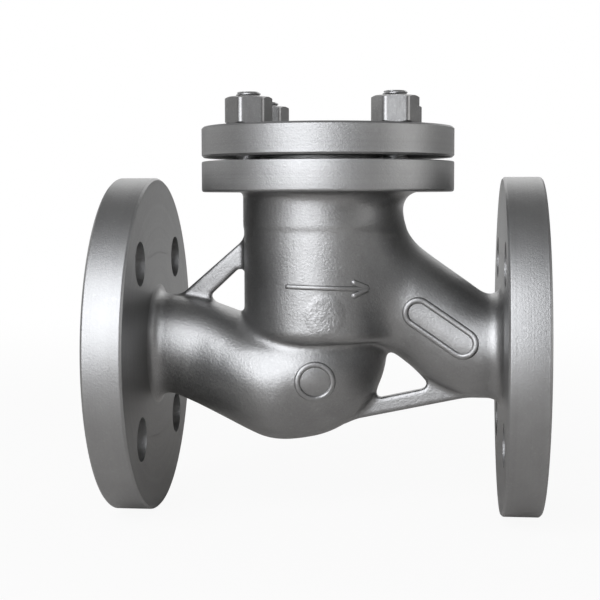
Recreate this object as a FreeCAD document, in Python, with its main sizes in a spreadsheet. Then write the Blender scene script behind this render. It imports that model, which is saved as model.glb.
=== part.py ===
import FreeCAD, Part
import math
import os
import re

import Sketcher
from FreeCAD import Placement, Rotation, Vector

# Lift non-return valve, cast stainless steel, flanged, nominal size 32, pressure class 40.
# Frame: +X along the flow, +Z up, origin at the centre of the inlet flange's sealing face.
# Each piece is drawn in its own frame, whose Z axis is the bonnet axis and whose X axis is the
# flow axis, and is then shifted along X by half the face-to-face length.

# Driving dimensions, millimetres and degrees
SIZES = {
    # End flanges and flow line
    "face_to_face": 180.0,
    "nominal_bore": 32.0,
    "pipe_wall": 5.0,
    "flange_diameter": 140.0,
    "flange_thickness": 18.0,
    "raised_face_diameter": 78.0,
    "raised_face_height": 2.0,
    "bolt_edge_distance": 20.0,
    "bolt_hole_diameter": 18.0,
    "bolt_phase": 45.0,
    "flange_edge_chamfer": 0.8,
    "hub_rise": 4.0,
    "hub_sink": 1.0,
    # Branches: where each pipe leaves the flow axis, how steeply, and how round the bend is
    "branch_corner": 58.0,
    "branch_bend_radius": 32.0,
    "inlet_slope": 25.0,
    "outlet_slope": 37.5,
    "throat_heel": 1.0,
    # Bowl under the seat
    "bowl_offset": 14.0,
    "bowl_half_width": 30.0,
    "bowl_margin": 0.4,
    "bowl_rim": 0.5,
    "swell_start": 10.0,
    "swell_width": 58.0,
    "swell_flat": 0.5,
    # Neck and bonnet flange
    "neck_wall": 7.0,
    "neck_shift": 2.0,
    "neck_drop": 3.0,
    "neck_shoulder": 6.0,
    "neck_flare": 4.0,
    "neck_collar": 4.0,
    "bonnet_diameter": 104.8,
    "bonnet_thickness": 12.5,
    "bonnet_top": 76.5,
    "bonnet_edge_chamfer": 1.6,
    "chamber_diameter": 52.0,
    "chamber_floor": 8.0,
    # Webs between neck, bowl and flanges
    "web_thickness": 5.0,
    "web_window_radius": 2.5,
    "web_window_overlap": 1.2,
    "inlet_web_top": 43.5,
    "inlet_web_foot": 64.0,
    "inlet_web_foot_height": 20.5,
    "inlet_window_top": 34.5,
    "inlet_window_foot": 12.5,
    "inlet_window_tip": 51.5,
    "inlet_window_tip_height": 21.0,
    "outlet_web_toe": 13.6,
    "outlet_web_toe_depth": 30.2,
    "outlet_web_foot": 66.0,
    "outlet_web_foot_depth": 19.8,
    "outlet_window_near": 20.6,
    "outlet_window_lean": 1.2,
    "outlet_window_depth": 22.6,
    "outlet_window_far": 43.0,
    "outlet_window_far_depth": 17.1,
    # Seat ring
    "seat_ring_wall": 3.5,
    "seat_ring_embed": 5.0,
    "seat_ring_proud": 3.0,
    "seat_chamfer": 0.8,
    # Check disc
    "disc_diameter": 42.0,
    "disc_thickness": 6.0,
    "disc_nose_diameter": 28.0,
    "disc_nose_tip_diameter": 11.2,
    "disc_nose_depth": 6.0,
    "disc_edge_chamfer": 0.8,
    "hub_diameter": 22.0,
    "stem_diameter": 12.0,
    "stem_entry": 14.0,
    "stem_chamfer": 1.0,
    "lift": 10.0,
    "lift_stop_gap": 0.1,
    # Cover, its guide boss and bush
    "joint_gap": 1.7,
    "cover_thickness": 12.5,
    "cover_chamfer": 0.8,
    "boss_diameter": 28.0,
    "boss_length": 30.0,
    "boss_fillet": 0.8,
    "guide_headroom": 3.0,
    "guide_relief": 1.5,
    "bush_wall": 3.0,
    "bush_length": 20.0,
    "bush_chamfer": 0.5,
    # Gasket
    "gasket_thickness": 2.0,
    "gasket_width": 6.0,
    "recess_diameter": 67.0,
    "recess_depth": 4.3,
    # Closing spring
    "spring_wire": 2.0,
    "spring_boss_gap": 1.5,
    "spring_turns": 5.0,
    "spring_end_pitch": 2.1,
    # Cover studs and nuts
    "stud_circle": 82.0,
    "stud_phase": 45.0,
    "stud_diameter": 10.0,
    "stud_engagement": 10.0,
    "stud_hole_bottom": 1.2,
    "stud_protrusion": 1.9,
    "stud_chamfer": 1.2,
    "nut_width": 17.0,
    "nut_height": 10.7,
    "nut_chamfer_angle": 30.0,
    "nut_countersink": 0.6,
    # Clearances on the radius
    "spigot_clearance": 0.15,
    "gasket_clearance": 0.2,
    "ring_clearance": 0.05,
    "bush_clearance": 0.03,
    "stem_clearance": 0.05,
    "stud_clearance": 0.05,
    "cover_hole_clearance": 0.5,
}

# Lengths worked out from the driving dimensions
BORE_RADIUS = "(nominal_bore / 2)"
PIPE_RADIUS = "(nominal_bore / 2 + pipe_wall)"
HALF_LENGTH = "(face_to_face / 2)"
BOLT_CIRCLE = "(flange_diameter - 2 * bolt_edge_distance)"
FLANGE_BACK = f"({HALF_LENGTH} - flange_thickness)"
FLANGE_MIDDLE = f"({HALF_LENGTH} - flange_thickness / 2)"
INLET_REACH = "((branch_corner - bowl_offset) * cos(inlet_slope))"
BOWL_RADIUS = f"((branch_corner - bowl_offset) * sin(inlet_slope) + {PIPE_RADIUS} + bowl_margin)"
THROAT_RADIUS = f"({BORE_RADIUS} + throat_heel)"
SEAT_TOP = "(chamber_floor + seat_ring_proud)"
SEAT_FLOOR = "(chamber_floor - seat_ring_embed)"
SEAT_RING_RADIUS = f"({BORE_RADIUS} + seat_ring_wall)"
CHAMBER_RADIUS = "(chamber_diameter / 2)"
NECK_RADIUS = f"({CHAMBER_RADIUS} + neck_wall)"
NECK_SIDE = f"({NECK_RADIUS} + neck_shift)"
BONNET_RADIUS = "(bonnet_diameter / 2)"
RECESS_RADIUS = "(recess_diameter / 2)"
RECESS_FLOOR = "(bonnet_top - recess_depth)"
GASKET_TOP = f"({RECESS_FLOOR} + gasket_thickness)"
COVER_BASE = "(bonnet_top + joint_gap)"
COVER_TOP = f"({COVER_BASE} + cover_thickness)"
BOSS_END = f"({COVER_BASE} - boss_length)"
BUSH_RADIUS = "(stem_diameter / 2 + stem_clearance + bush_wall)"
GUIDE_RADIUS = "(stem_diameter / 2 + guide_relief)"
GUIDE_TOP = f"({BOSS_END} + lift + stem_entry + guide_headroom)"
DISC_TOP = f"({SEAT_TOP} + disc_thickness)"
HUB_TOP = f"({BOSS_END} - lift - lift_stop_gap)"
STEM_TOP = f"({BOSS_END} + stem_entry)"
SPRING_RADIUS = "(boss_diameter / 2 + spring_boss_gap + spring_wire / 2)"
STUD_RADIUS = "(stud_diameter / 2)"
STUD_BASE = "(bonnet_top - stud_engagement)"
STUD_TOP = f"({COVER_TOP} + nut_height + stud_protrusion)"

# How far each cover nut was turned when it was tightened, one for each stud, and counts of what repeats
NUT_TURNS = (21.0, 8.0, 11.0, 3.0)
STUDS = len(NUT_TURNS)
BOLTS_PER_FLANGE = 4
SIDES_OF_NUT = 6
SECTIONS_PER_TURN = 12
SIDES_OF_WIRE = 8

ROLE_XY = "XY_Plane"
ROLE_XZ = "XZ_Plane"
ROLE_YZ = "YZ_Plane"
UPRIGHT = "V_Axis"
LEVEL = "H_Axis"

doc = FreeCAD.newDocument("lift_check_valve")


def make_sheet():
    """Writes every driving dimension to one sheet, with its name as the cell's alias."""
    sheet = doc.addObject("Spreadsheet::Sheet", "sizes")
    for row, (name, number) in enumerate(SIZES.items(), start=1):
        sheet.set(f"A{row}", name)
        sheet.set(f"B{row}", str(number))
        sheet.setAlias(f"B{row}", name)
    doc.recompute()


def bound(formula):
    """A formula in the driving dimensions' names, as an expression that reads the sheet."""
    return re.sub(r"[a-z_]+", lambda found: ("sizes." if found[0] in SIZES else "") + found[0], formula)


def number_of(owner, formula):
    """The present value of a formula."""
    result = owner.evalExpression(bound(formula))
    return float(getattr(result, "Value", result))


def origin_part(body, role):
    """One of the body's own origin planes or axes."""
    return next(part for part in body.Origin.OriginFeatures if part.Role == role)


def new_body(name):
    """An empty body in the shared frame, with the bonnet axis at half the face-to-face length."""
    body = doc.addObject("PartDesign::Body", name)
    body.Label = name
    body.setExpression(".Placement.Base.x", bound(HALF_LENGTH))
    return body


def new_sketch(body, name, role, offset=None):
    """A sketch on one of the body's origin planes, moved along the plane's normal by offset."""
    sketch = body.newObject("Sketcher::SketchObject", name)
    sketch.AttachmentSupport = (origin_part(body, role), [""])
    sketch.MapMode = "FlatFace"
    if offset:
        sketch.setExpression(".AttachmentOffset.Base.z", bound(offset))
    return sketch


def constrain(sketch, constraint, formula=None):
    """Adds a constraint and ties its size to a formula."""
    index = sketch.addConstraint(constraint)
    if formula:
        sketch.setExpression(f"Constraints[{index}]", bound(formula))


def fix_point(sketch, geometry, position, x, y):
    """Holds a point at the place that two formulas give.

    Where a formula is nought the point lies on the sketch's upright axis, number -2, or level axis, -1.
    """
    for formula, kind, axis in ((x, "DistanceX", -2), (y, "DistanceY", -1)):
        if formula == "0":
            constrain(sketch, Sketcher.Constraint("PointOnObject", geometry, position, axis))
        else:
            number = number_of(sketch, formula)
            constrain(sketch, Sketcher.Constraint(kind, geometry, position, number), formula)


def rounded_corner(before, corner, after, radius):
    """Where an arc of this radius meets the two lines of a corner, its centre and its sense."""
    back = (before - corner).normalize()
    ahead = (after - corner).normalize()
    half_angle = back.getAngle(ahead) / 2
    run = radius / math.tan(half_angle)
    centre = corner + (back + ahead).normalize() * (radius / math.sin(half_angle))
    turns_left = (corner - before).cross(after - corner).z > 0
    return corner + back * run, corner + ahead * run, centre, turns_left


def draw_chain(sketch, corners, closed=True):
    """Lines from corner to corner, each corner (x, y) sharp or (x, y, radius) rounded by an arc."""
    points = [Vector(number_of(sketch, corner[0]), number_of(sketch, corner[1]), 0) for corner in corners]
    count = len(points)
    last = count if closed else count - 1
    rounded = [len(corner) == 3 for corner in corners]
    starts = list(points)
    ends = list(points)
    arcs = {}
    for place in range(count):
        if rounded[place]:
            radius = number_of(sketch, corners[place][2])
            before, after = points[place - 1], points[(place + 1) % count]
            arc_ends = rounded_corner(before, points[place], after, radius)
            ends[place], starts[place], centre, turns_left = arc_ends
            first, second = (ends[place], starts[place]) if turns_left else (starts[place], ends[place])
            from_angle = math.atan2(first.y - centre.y, first.x - centre.x)
            to_angle = math.atan2(second.y - centre.y, second.x - centre.x)
            if to_angle < from_angle:
                to_angle += 2 * math.pi
            circle = Part.Circle(centre, Vector(0, 0, 1), radius)
            arc = sketch.addGeometry(Part.ArcOfCircle(circle, from_angle, to_angle))
            arcs[place] = (arc, (1, 2) if turns_left else (2, 1))
    lines = []
    for place in range(last):
        lines.append(sketch.addGeometry(Part.LineSegment(starts[place], ends[(place + 1) % count])))
    for place in range(count):
        incoming = lines[place - 1] if closed or place > 0 else None
        outgoing = lines[place] if place < last else None
        if rounded[place]:
            arc, (arc_in, arc_out) = arcs[place]
            virtual = sketch.addGeometry(Part.Point(points[place]), True)
            constrain(sketch, Sketcher.Constraint("Tangent", incoming, 2, arc, arc_in))
            constrain(sketch, Sketcher.Constraint("Tangent", arc, arc_out, outgoing, 1))
            constrain(sketch, Sketcher.Constraint("PointOnObject", virtual, 1, incoming))
            constrain(sketch, Sketcher.Constraint("PointOnObject", virtual, 1, outgoing))
            radius = number_of(sketch, corners[place][2])
            constrain(sketch, Sketcher.Constraint("Radius", arc, radius), corners[place][2])
            fix_point(sketch, virtual, 1, corners[place][0], corners[place][1])
        else:
            if incoming is not None and outgoing is not None:
                constrain(sketch, Sketcher.Constraint("Coincident", incoming, 2, outgoing, 1))
            held, end = (outgoing, 1) if outgoing is not None else (incoming, 2)
            fix_point(sketch, held, end, corners[place][0], corners[place][1])


def draw_circle(sketch, x, y, radius):
    """One circle, placed and sized by formulas."""
    centre = Vector(number_of(sketch, x), number_of(sketch, y), 0)
    circle = sketch.addGeometry(Part.Circle(centre, Vector(0, 0, 1), number_of(sketch, radius)))
    fix_point(sketch, circle, 3, x, y)
    constrain(sketch, Sketcher.Constraint("Radius", circle, number_of(sketch, radius)), radius)


def turned(body, kind, name, corners, axis, shift, role):
    """A closed outline in one of the body's planes, turned about the sketch's own upright or level axis."""
    sketch = new_sketch(body, f"{name}_outline", role)
    if shift:
        sketch.setExpression(".AttachmentOffset.Base.x", bound(shift))
    draw_chain(sketch, corners)
    feature = body.newObject(f"PartDesign::{kind}", name)
    feature.Profile = sketch
    feature.ReferenceAxis = (sketch, [axis])
    feature.Angle = 360
    return feature


def added_turning(body, name, corners, axis=UPRIGHT, shift=None, role=ROLE_XZ):
    """Material turned about an axis, which shift can move along X."""
    return turned(body, "Revolution", name, corners, axis, shift, role)


def cut_turning(body, name, corners):
    """A recess turned about the upright axis."""
    return turned(body, "Groove", name, corners, UPRIGHT, None, ROLE_XZ)


def piped(body, kind, name, corners, radius):
    """A round section carried along a path in the XZ plane that starts square to the flow axis."""
    path = new_sketch(body, f"{name}_path", ROLE_XZ)
    draw_chain(path, corners, closed=False)
    section = new_sketch(body, f"{name}_section", ROLE_YZ, corners[0][0])
    draw_circle(section, "0", "0", radius)
    feature = body.newObject(f"PartDesign::{kind}", name)
    feature.Profile = section
    edge_count = len(corners) - 1 + sum(len(corner) == 3 for corner in corners)
    feature.Spine = (path, [f"Edge{edge}" for edge in range(1, edge_count + 1)])
    return feature


def bored(body, name, role, plane_offset, centre, radius, depth, reverse=False):
    """A round blind or through hole, cut from a plane along its normal."""
    sketch = new_sketch(body, f"{name}_outline", role, plane_offset)
    draw_circle(sketch, centre[0], centre[1], radius)
    pocket = body.newObject("PartDesign::Pocket", name)
    pocket.Profile = sketch
    pocket.Type = "Length"
    pocket.setExpression("Length", bound(depth))
    pocket.Reversed = reverse
    return pocket


def repeated(body, name, feature, axis, count):
    """Copies of a feature, evenly spaced round an axis."""
    pattern = body.newObject("PartDesign::PolarPattern", name)
    pattern.Originals = [feature]
    pattern.Axis = (origin_part(body, axis), [""])
    pattern.Angle = 360
    pattern.Occurrences = count
    body.Tip = pattern
    return pattern


def on_circle(diameter, angle):
    """The two coordinates of a point on a circle about the axis."""
    return f"({diameter} / 2 * cos({angle}))", f"({diameter} / 2 * sin({angle}))"


def add_end_flange(body, name, side):
    """One round end flange with its raised face and the tapered hub where the pipe meets its back."""
    face = f"({side} * {HALF_LENGTH})"
    shoulder = f"({side} * ({HALF_LENGTH} - raised_face_height))"
    back = f"({side} * {FLANGE_BACK})"
    outer = "(flange_diameter / 2)"
    front_chamfer = f"({side} * ({HALF_LENGTH} - raised_face_height - flange_edge_chamfer))"
    back_chamfer = f"({side} * ({FLANGE_BACK} + flange_edge_chamfer))"
    hub_end = f"({side} * ({FLANGE_BACK} - hub_rise - hub_sink))"
    added_turning(body, name, [
        (face, "0"),
        (face, "(raised_face_diameter / 2)"),
        (shoulder, "(raised_face_diameter / 2)"),
        (shoulder, f"({outer} - flange_edge_chamfer)"),
        (front_chamfer, outer),
        (back_chamfer, outer),
        (back, f"({outer} - flange_edge_chamfer)"),
        (back, f"({PIPE_RADIUS} + hub_rise)"),
        (hub_end, f"({PIPE_RADIUS} - hub_sink)"),
        (hub_end, "0"),
    ], axis=LEVEL)


def add_web(body, name, outline, window):
    """A flat cast web in the plane of the two axes, with a rounded three-cornered window."""
    sketch = new_sketch(body, f"{name}_outline", ROLE_XZ)
    draw_chain(sketch, outline)
    draw_chain(sketch, [(x, z, "web_window_radius") for x, z in window])
    pad = body.newObject("PartDesign::Pad", name)
    pad.Profile = sketch
    pad.setExpression("Length", bound("web_thickness"))
    pad.SideType = "Symmetric"


def make_valve_body():
    """The one-piece casting: two end flanges, S-shaped passage, bowl, neck, bonnet flange and webs."""
    body = new_body("body")
    add_end_flange(body, "inlet_flange", -1)
    add_end_flange(body, "outlet_flange", 1)

    web_root = f"({CHAMBER_RADIUS} + pipe_wall)"
    web_slope = f"((inlet_web_top - inlet_web_foot_height) / (inlet_web_foot - {NECK_SIDE}))"
    add_web(body, "inlet_web", [
        (f"(-{web_root})", f"(inlet_web_top + {web_slope} * ({NECK_SIDE} - {web_root}))"),
        ("(-inlet_web_foot)", "inlet_web_foot_height"),
        ("(-inlet_web_foot)", "0"),
        (f"(-{web_root})", "0"),
    ], [
        (f"(web_window_overlap - {NECK_SIDE})", "inlet_window_top"),
        ("(-inlet_window_tip)", "inlet_window_tip_height"),
        (f"(web_window_overlap - {NECK_SIDE})", "inlet_window_foot"),
    ])
    add_web(body, "outlet_web", [
        ("outlet_web_toe", "(-outlet_web_toe_depth)"),
        ("outlet_web_foot", "(-outlet_web_foot_depth)"),
        ("outlet_web_foot", "0"),
        ("outlet_web_toe", "0"),
    ], [
        ("(outlet_window_near + outlet_window_lean)", "0"),
        ("outlet_window_near", "(-outlet_window_depth)"),
        ("outlet_window_far", "(-outlet_window_far_depth)"),
    ])

    inlet_end_x = f"({INLET_REACH} * cos(inlet_slope) - branch_corner)"
    inlet_end_z = f"(-{INLET_REACH} * sin(inlet_slope))"
    piped(body, "AdditivePipe", "inlet_pipe", [
        (f"(-{FLANGE_MIDDLE})", "0"),
        ("(-branch_corner)", "0", "branch_bend_radius"),
        (inlet_end_x, inlet_end_z),
    ], PIPE_RADIUS)
    outlet_rise = "(branch_corner * tan(outlet_slope))"
    piped(body, "AdditivePipe", "outlet_pipe", [
        (FLANGE_MIDDLE, "0"),
        ("branch_corner", "0", "branch_bend_radius"),
        ("0", outlet_rise),
    ], PIPE_RADIUS)

    rounding = "(bowl_half_width - bowl_rim)"
    bowl = added_turning(body, "bowl", [
        ("0", "(-bowl_half_width)"),
        (BOWL_RADIUS, "(-bowl_half_width)", rounding),
        (BOWL_RADIUS, "bowl_half_width", rounding),
        ("0", "bowl_half_width"),
    ], shift="(-bowl_offset)", role=ROLE_XY)
    # Half a turn, so that the bowl hangs below the flow axis
    bowl.Angle = 180

    bonnet_base = "(bonnet_top - bonnet_thickness)"
    add_neck(body, bonnet_base)
    added_turning(body, "bonnet_flange", [
        ("0", bonnet_base),
        (f"({BONNET_RADIUS} - bonnet_edge_chamfer)", bonnet_base),
        (BONNET_RADIUS, f"({bonnet_base} + bonnet_edge_chamfer)"),
        (BONNET_RADIUS, "bonnet_top"),
        ("0", "bonnet_top"),
    ])

    add_inlet_swell(body)

    cut_turning(body, "chamber", [
        ("0", "chamber_floor"),
        (CHAMBER_RADIUS, "chamber_floor"),
        (CHAMBER_RADIUS, RECESS_FLOOR),
        (RECESS_RADIUS, RECESS_FLOOR),
        (RECESS_RADIUS, "bonnet_top"),
        ("0", "bonnet_top"),
    ])
    cut_turning(body, "seat_recess", [
        ("0", SEAT_FLOOR),
        (f"({SEAT_RING_RADIUS} + ring_clearance)", SEAT_FLOOR),
        (f"({SEAT_RING_RADIUS} + ring_clearance)", SEAT_TOP),
        ("0", SEAT_TOP),
    ])
    piped(body, "SubtractivePipe", "inlet_passage", [
        (f"(-{HALF_LENGTH})", "0"),
        ("(-branch_corner)", "0", "branch_bend_radius"),
        ("0", "(-branch_corner * tan(inlet_slope))", THROAT_RADIUS),
        ("0", SEAT_FLOOR),
    ], BORE_RADIUS)
    piped(body, "SubtractivePipe", "outlet_passage", [
        (HALF_LENGTH, "0"),
        ("branch_corner", "0", "branch_bend_radius"),
        ("0", outlet_rise),
    ], BORE_RADIUS)

    hole_centre = on_circle(BOLT_CIRCLE, "bolt_phase")
    for name, side, reverse in (("inlet_bolt_hole", -1, True), ("outlet_bolt_hole", 1, False)):
        face = f"({side} * {HALF_LENGTH})"
        radius = "(bolt_hole_diameter / 2)"
        hole = bored(body, name, ROLE_YZ, face, hole_centre, radius, "flange_thickness", reverse)
        repeated(body, f"{name}s", hole, "X_Axis", BOLTS_PER_FLANGE)
    stud_hole = bored(
        body, "stud_hole", ROLE_XY, "bonnet_top", on_circle("stud_circle", "stud_phase"),
        f"({STUD_RADIUS} + stud_clearance)", "(stud_engagement + stud_hole_bottom)",
    )
    repeated(body, "stud_holes", stud_hole, "Z_Axis", STUDS)
    return body


def sloped_section(body, name, run, half_width, half_height):
    """A round-cornered section square to the sloping inlet branch, at a run from its corner."""
    sketch = new_sketch(body, name, ROLE_YZ)
    sketch.AttachmentOffset = Placement(Vector(0, 0, 0), Rotation(Vector(1, 0, 0), 1))
    sketch.setExpression(".AttachmentOffset.Base.y", bound(f"(-{run} * sin(inlet_slope))"))
    sketch.setExpression(".AttachmentOffset.Base.z", bound(f"({run} * cos(inlet_slope) - branch_corner)"))
    sketch.setExpression(".AttachmentOffset.Rotation.Angle", bound("inlet_slope"))
    radius = f"({half_height} - swell_flat)"
    quarters = ((-1, -1), (1, -1), (1, 1), (-1, 1))
    draw_chain(sketch, [(f"({x} * {half_width})", f"({y} * {half_height})", radius) for x, y in quarters])
    return sketch


def add_inlet_swell(body):
    """The inlet branch widens from a round pipe to the width of the bowl."""
    near = f"({PIPE_RADIUS} - swell_flat)"
    start = sloped_section(body, "swell_near", "swell_start", near, near)
    end = sloped_section(body, "swell_far", INLET_REACH, "(swell_width / 2)", PIPE_RADIUS)
    swell = body.newObject("PartDesign::AdditiveLoft", "inlet_swell")
    swell.Profile = start
    swell.Sections = [end]


def add_neck(body, bonnet_base):
    """The upright neck round the chamber, a little off the bonnet axis towards the inlet."""
    flare_end = f"({NECK_RADIUS} + neck_flare + neck_collar)"
    inside_flange = f"({bonnet_base} + bonnet_edge_chamfer)"
    added_turning(body, "neck", [
        ("0", "(-neck_drop)"),
        (NECK_RADIUS, "(-neck_drop)", "neck_shoulder"),
        (NECK_RADIUS, bonnet_base, "neck_flare"),
        (flare_end, bonnet_base),
        (flare_end, inside_flange),
        ("0", inside_flange),
    ], shift="(-neck_shift)")


def make_seat_ring():
    """The flat-faced seat ring, let into the floor of the chamber."""
    body = new_body("seat_ring")
    added_turning(body, "ring", [
        (BORE_RADIUS, SEAT_FLOOR),
        (SEAT_RING_RADIUS, SEAT_FLOOR),
        (SEAT_RING_RADIUS, f"({SEAT_TOP} - seat_chamfer)"),
        (f"({SEAT_RING_RADIUS} - seat_chamfer)", SEAT_TOP),
        (f"({BORE_RADIUS} + seat_chamfer)", SEAT_TOP),
        (BORE_RADIUS, f"({SEAT_TOP} - seat_chamfer)"),
    ])
    return body


def make_check_disc():
    """The check disc, turned in one piece with its nose, stop hub and guide stem."""
    body = new_body("check_disc")
    disc_radius = "(disc_diameter / 2)"
    added_turning(body, "disc", [
        ("0", f"({SEAT_TOP} - disc_nose_depth)"),
        ("(disc_nose_tip_diameter / 2)", f"({SEAT_TOP} - disc_nose_depth)"),
        ("(disc_nose_diameter / 2)", SEAT_TOP),
        (disc_radius, SEAT_TOP),
        (disc_radius, f"({DISC_TOP} - disc_edge_chamfer)"),
        (f"({disc_radius} - disc_edge_chamfer)", DISC_TOP),
        ("(hub_diameter / 2)", DISC_TOP),
        ("(hub_diameter / 2)", HUB_TOP),
        ("(stem_diameter / 2)", HUB_TOP),
        ("(stem_diameter / 2)", f"({STEM_TOP} - stem_chamfer)"),
        ("(stem_diameter / 2 - stem_chamfer)", STEM_TOP),
        ("0", STEM_TOP),
    ])
    return body


def make_cover():
    """The flat round cover with its spigot and the boss that guides the stem."""
    body = new_body("cover")
    spigot_radius = f"({RECESS_RADIUS} - spigot_clearance)"
    boss_radius = "(boss_diameter / 2)"
    bush_seat = f"({BUSH_RADIUS} + bush_clearance)"
    added_turning(body, "plate_and_boss", [
        (GUIDE_RADIUS, f"({BOSS_END} + bush_length)"),
        (bush_seat, f"({BOSS_END} + bush_length)"),
        (bush_seat, BOSS_END),
        (boss_radius, BOSS_END),
        (boss_radius, GASKET_TOP, "boss_fillet"),
        (spigot_radius, GASKET_TOP),
        (spigot_radius, COVER_BASE),
        (f"({BONNET_RADIUS} - cover_chamfer)", COVER_BASE),
        (BONNET_RADIUS, f"({COVER_BASE} + cover_chamfer)"),
        (BONNET_RADIUS, f"({COVER_TOP} - cover_chamfer)"),
        (f"({BONNET_RADIUS} - cover_chamfer)", COVER_TOP),
        ("0", COVER_TOP),
        ("0", GUIDE_TOP),
        (GUIDE_RADIUS, GUIDE_TOP),
    ])
    hole = bored(
        body, "stud_hole", ROLE_XY, COVER_TOP, on_circle("stud_circle", "stud_phase"),
        f"({STUD_RADIUS} + cover_hole_clearance)", "cover_thickness",
    )
    repeated(body, "stud_holes", hole, "Z_Axis", STUDS)
    return body


def make_guide_bush():
    """The plain bush in which the disc's stem slides."""
    body = new_body("guide_bush")
    bore = "(stem_diameter / 2 + stem_clearance)"
    top = f"({BOSS_END} + bush_length)"
    added_turning(body, "bush", [
        (f"({bore} + bush_chamfer)", BOSS_END),
        (BUSH_RADIUS, BOSS_END),
        (BUSH_RADIUS, f"({top} - bush_chamfer)"),
        (f"({BUSH_RADIUS} - bush_chamfer)", top),
        (bore, top),
        (bore, f"({BOSS_END} + bush_chamfer)"),
    ])
    return body


def make_cover_gasket():
    """The flat gasket between the cover's spigot and the recess of the bonnet flange."""
    body = new_body("cover_gasket")
    outer = f"({RECESS_RADIUS} - gasket_clearance)"
    added_turning(body, "gasket", [
        (f"({outer} - gasket_width)", RECESS_FLOOR),
        (outer, RECESS_FLOOR),
        (outer, GASKET_TOP),
        (f"({outer} - gasket_width)", GASKET_TOP),
    ])
    return body


def wire_section(centre, outward, across, radius):
    """One many-sided section of the spring's wire, square to the wire."""
    corners = []
    for side in range(SIDES_OF_WIRE + 1):
        angle = 2 * math.pi * side / SIDES_OF_WIRE
        corners.append(centre + outward * (radius * math.cos(angle)) + across * (radius * math.sin(angle)))
    return Part.makePolygon(corners)


def make_closing_spring():
    """The helical spring between disc and cover: a closed turn at each end, ground flat."""
    spring = doc.addObject("Part::Feature", "closing_spring")
    spring.Label = "closing_spring"
    low, high, radius = (number_of(spring, formula) for formula in (DISC_TOP, GASKET_TOP, SPRING_RADIUS))
    closed_rise = number_of(spring, "spring_end_pitch")
    open_turns = number_of(spring, "spring_turns")
    wire_radius = number_of(spring, "(spring_wire / 2)")
    turns = [0, 1, 1 + open_turns, 2 + open_turns]
    heights = [low, low + closed_rise, high - closed_rise, high]
    steps = round(turns[-1] * SECTIONS_PER_TURN)
    sections = []
    for step in range(steps + 1):
        turn = turns[-1] * step / steps
        stretch = 0 if turn < turns[1] else 1 if turn < turns[2] else 2
        rise = (heights[stretch + 1] - heights[stretch]) / (turns[stretch + 1] - turns[stretch])
        height = heights[stretch] + rise * (turn - turns[stretch])
        outward = Vector(math.cos(2 * math.pi * turn), math.sin(2 * math.pi * turn), 0)
        along = (Vector(-outward.y, outward.x, 0) * (2 * math.pi * radius) + Vector(0, 0, rise)).normalize()
        centre = outward * radius + Vector(0, 0, height)
        sections.append(wire_section(centre, outward, outward.cross(along), wire_radius))
    coil = Part.makeLoft(sections, True, True)
    between_ends = Part.makeCylinder(radius + 2 * wire_radius, high - low, Vector(0, 0, low))
    spring.Shape = coil.common(between_ends)
    spring.setExpression(".Placement.Base.x", bound(HALF_LENGTH))
    return spring


def make_cover_stud(number, bearing):
    """One stud, screwed into the bonnet flange, with chamfered ends."""
    body = new_body(f"cover_stud_{number}")
    set_on_stud_circle(body, bearing)
    added_turning(body, "shank", [
        ("0", STUD_BASE),
        (f"({STUD_RADIUS} - stud_chamfer)", STUD_BASE),
        (STUD_RADIUS, f"({STUD_BASE} + stud_chamfer)"),
        (STUD_RADIUS, f"({STUD_TOP} - stud_chamfer)"),
        (f"({STUD_RADIUS} - stud_chamfer)", STUD_TOP),
        ("0", STUD_TOP),
    ])
    return body


def make_cover_nut(number, bearing, turn):
    """One hexagon nut on the cover, chamfered at both ends and countersunk at its bore."""
    body = new_body(f"cover_nut_{number}")
    set_on_stud_circle(body, bearing)
    body.Placement.Rotation = Rotation(Vector(0, 0, 1), turn)
    sketch = new_sketch(body, "hexagon", ROLE_XY, COVER_TOP)
    corner_radius = f"(nut_width / 2 / cos(180 / {SIDES_OF_NUT}))"
    bearings = [f"(({side} + 0.5) * 360 / {SIDES_OF_NUT})" for side in range(SIDES_OF_NUT)]
    draw_chain(sketch, [(f"({corner_radius} * cos({b}))", f"({corner_radius} * sin({b}))") for b in bearings])
    blank = body.newObject("PartDesign::Pad", "blank")
    blank.Profile = sketch
    blank.setExpression("Length", bound("nut_height"))
    bore = f"({STUD_RADIUS} + stud_clearance)"
    top = f"({COVER_TOP} + nut_height)"
    cut_turning(body, "bore", [
        ("0", COVER_TOP),
        (f"({bore} + nut_countersink)", COVER_TOP),
        (bore, f"({COVER_TOP} + nut_countersink)"),
        (bore, f"({top} - nut_countersink)"),
        (f"({bore} + nut_countersink)", top),
        ("0", top),
    ])
    # The cutter's edge starts at the flats and leans by the chamfer's angle to twice their distance
    flat = "(nut_width / 2)"
    reach = "nut_width"
    fall = f"(({reach} - {flat}) * tan(nut_chamfer_angle))"
    for name, end, sense in (("foot_chamfer", COVER_TOP, 1), ("head_chamfer", top, -1)):
        cut_turning(body, name, [
            (flat, end),
            (reach, end),
            (reach, f"({end} + {sense} * {fall})"),
        ])
    return body


def set_on_stud_circle(body, bearing):
    """Moves a piece from the bonnet axis to its place on the stud circle."""
    x, y = on_circle("stud_circle", bearing)
    body.setExpression(".Placement.Base.x", bound(f"{HALF_LENGTH} + {x}"))
    body.setExpression(".Placement.Base.y", bound(y))


def check_document(pieces):
    """Stops before anything is written if an object failed or a piece has no sound solid."""
    for thing in doc.Objects:
        if "Invalid" in thing.State or "Error" in thing.State:
            raise RuntimeError(f"{thing.Label} did not rebuild: {thing.State}")
    for piece in pieces:
        if piece.Shape.isNull() or not piece.Shape.isValid() or not piece.Shape.Solids:
            raise RuntimeError(f"{piece.Label} is not a sound solid")


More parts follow.
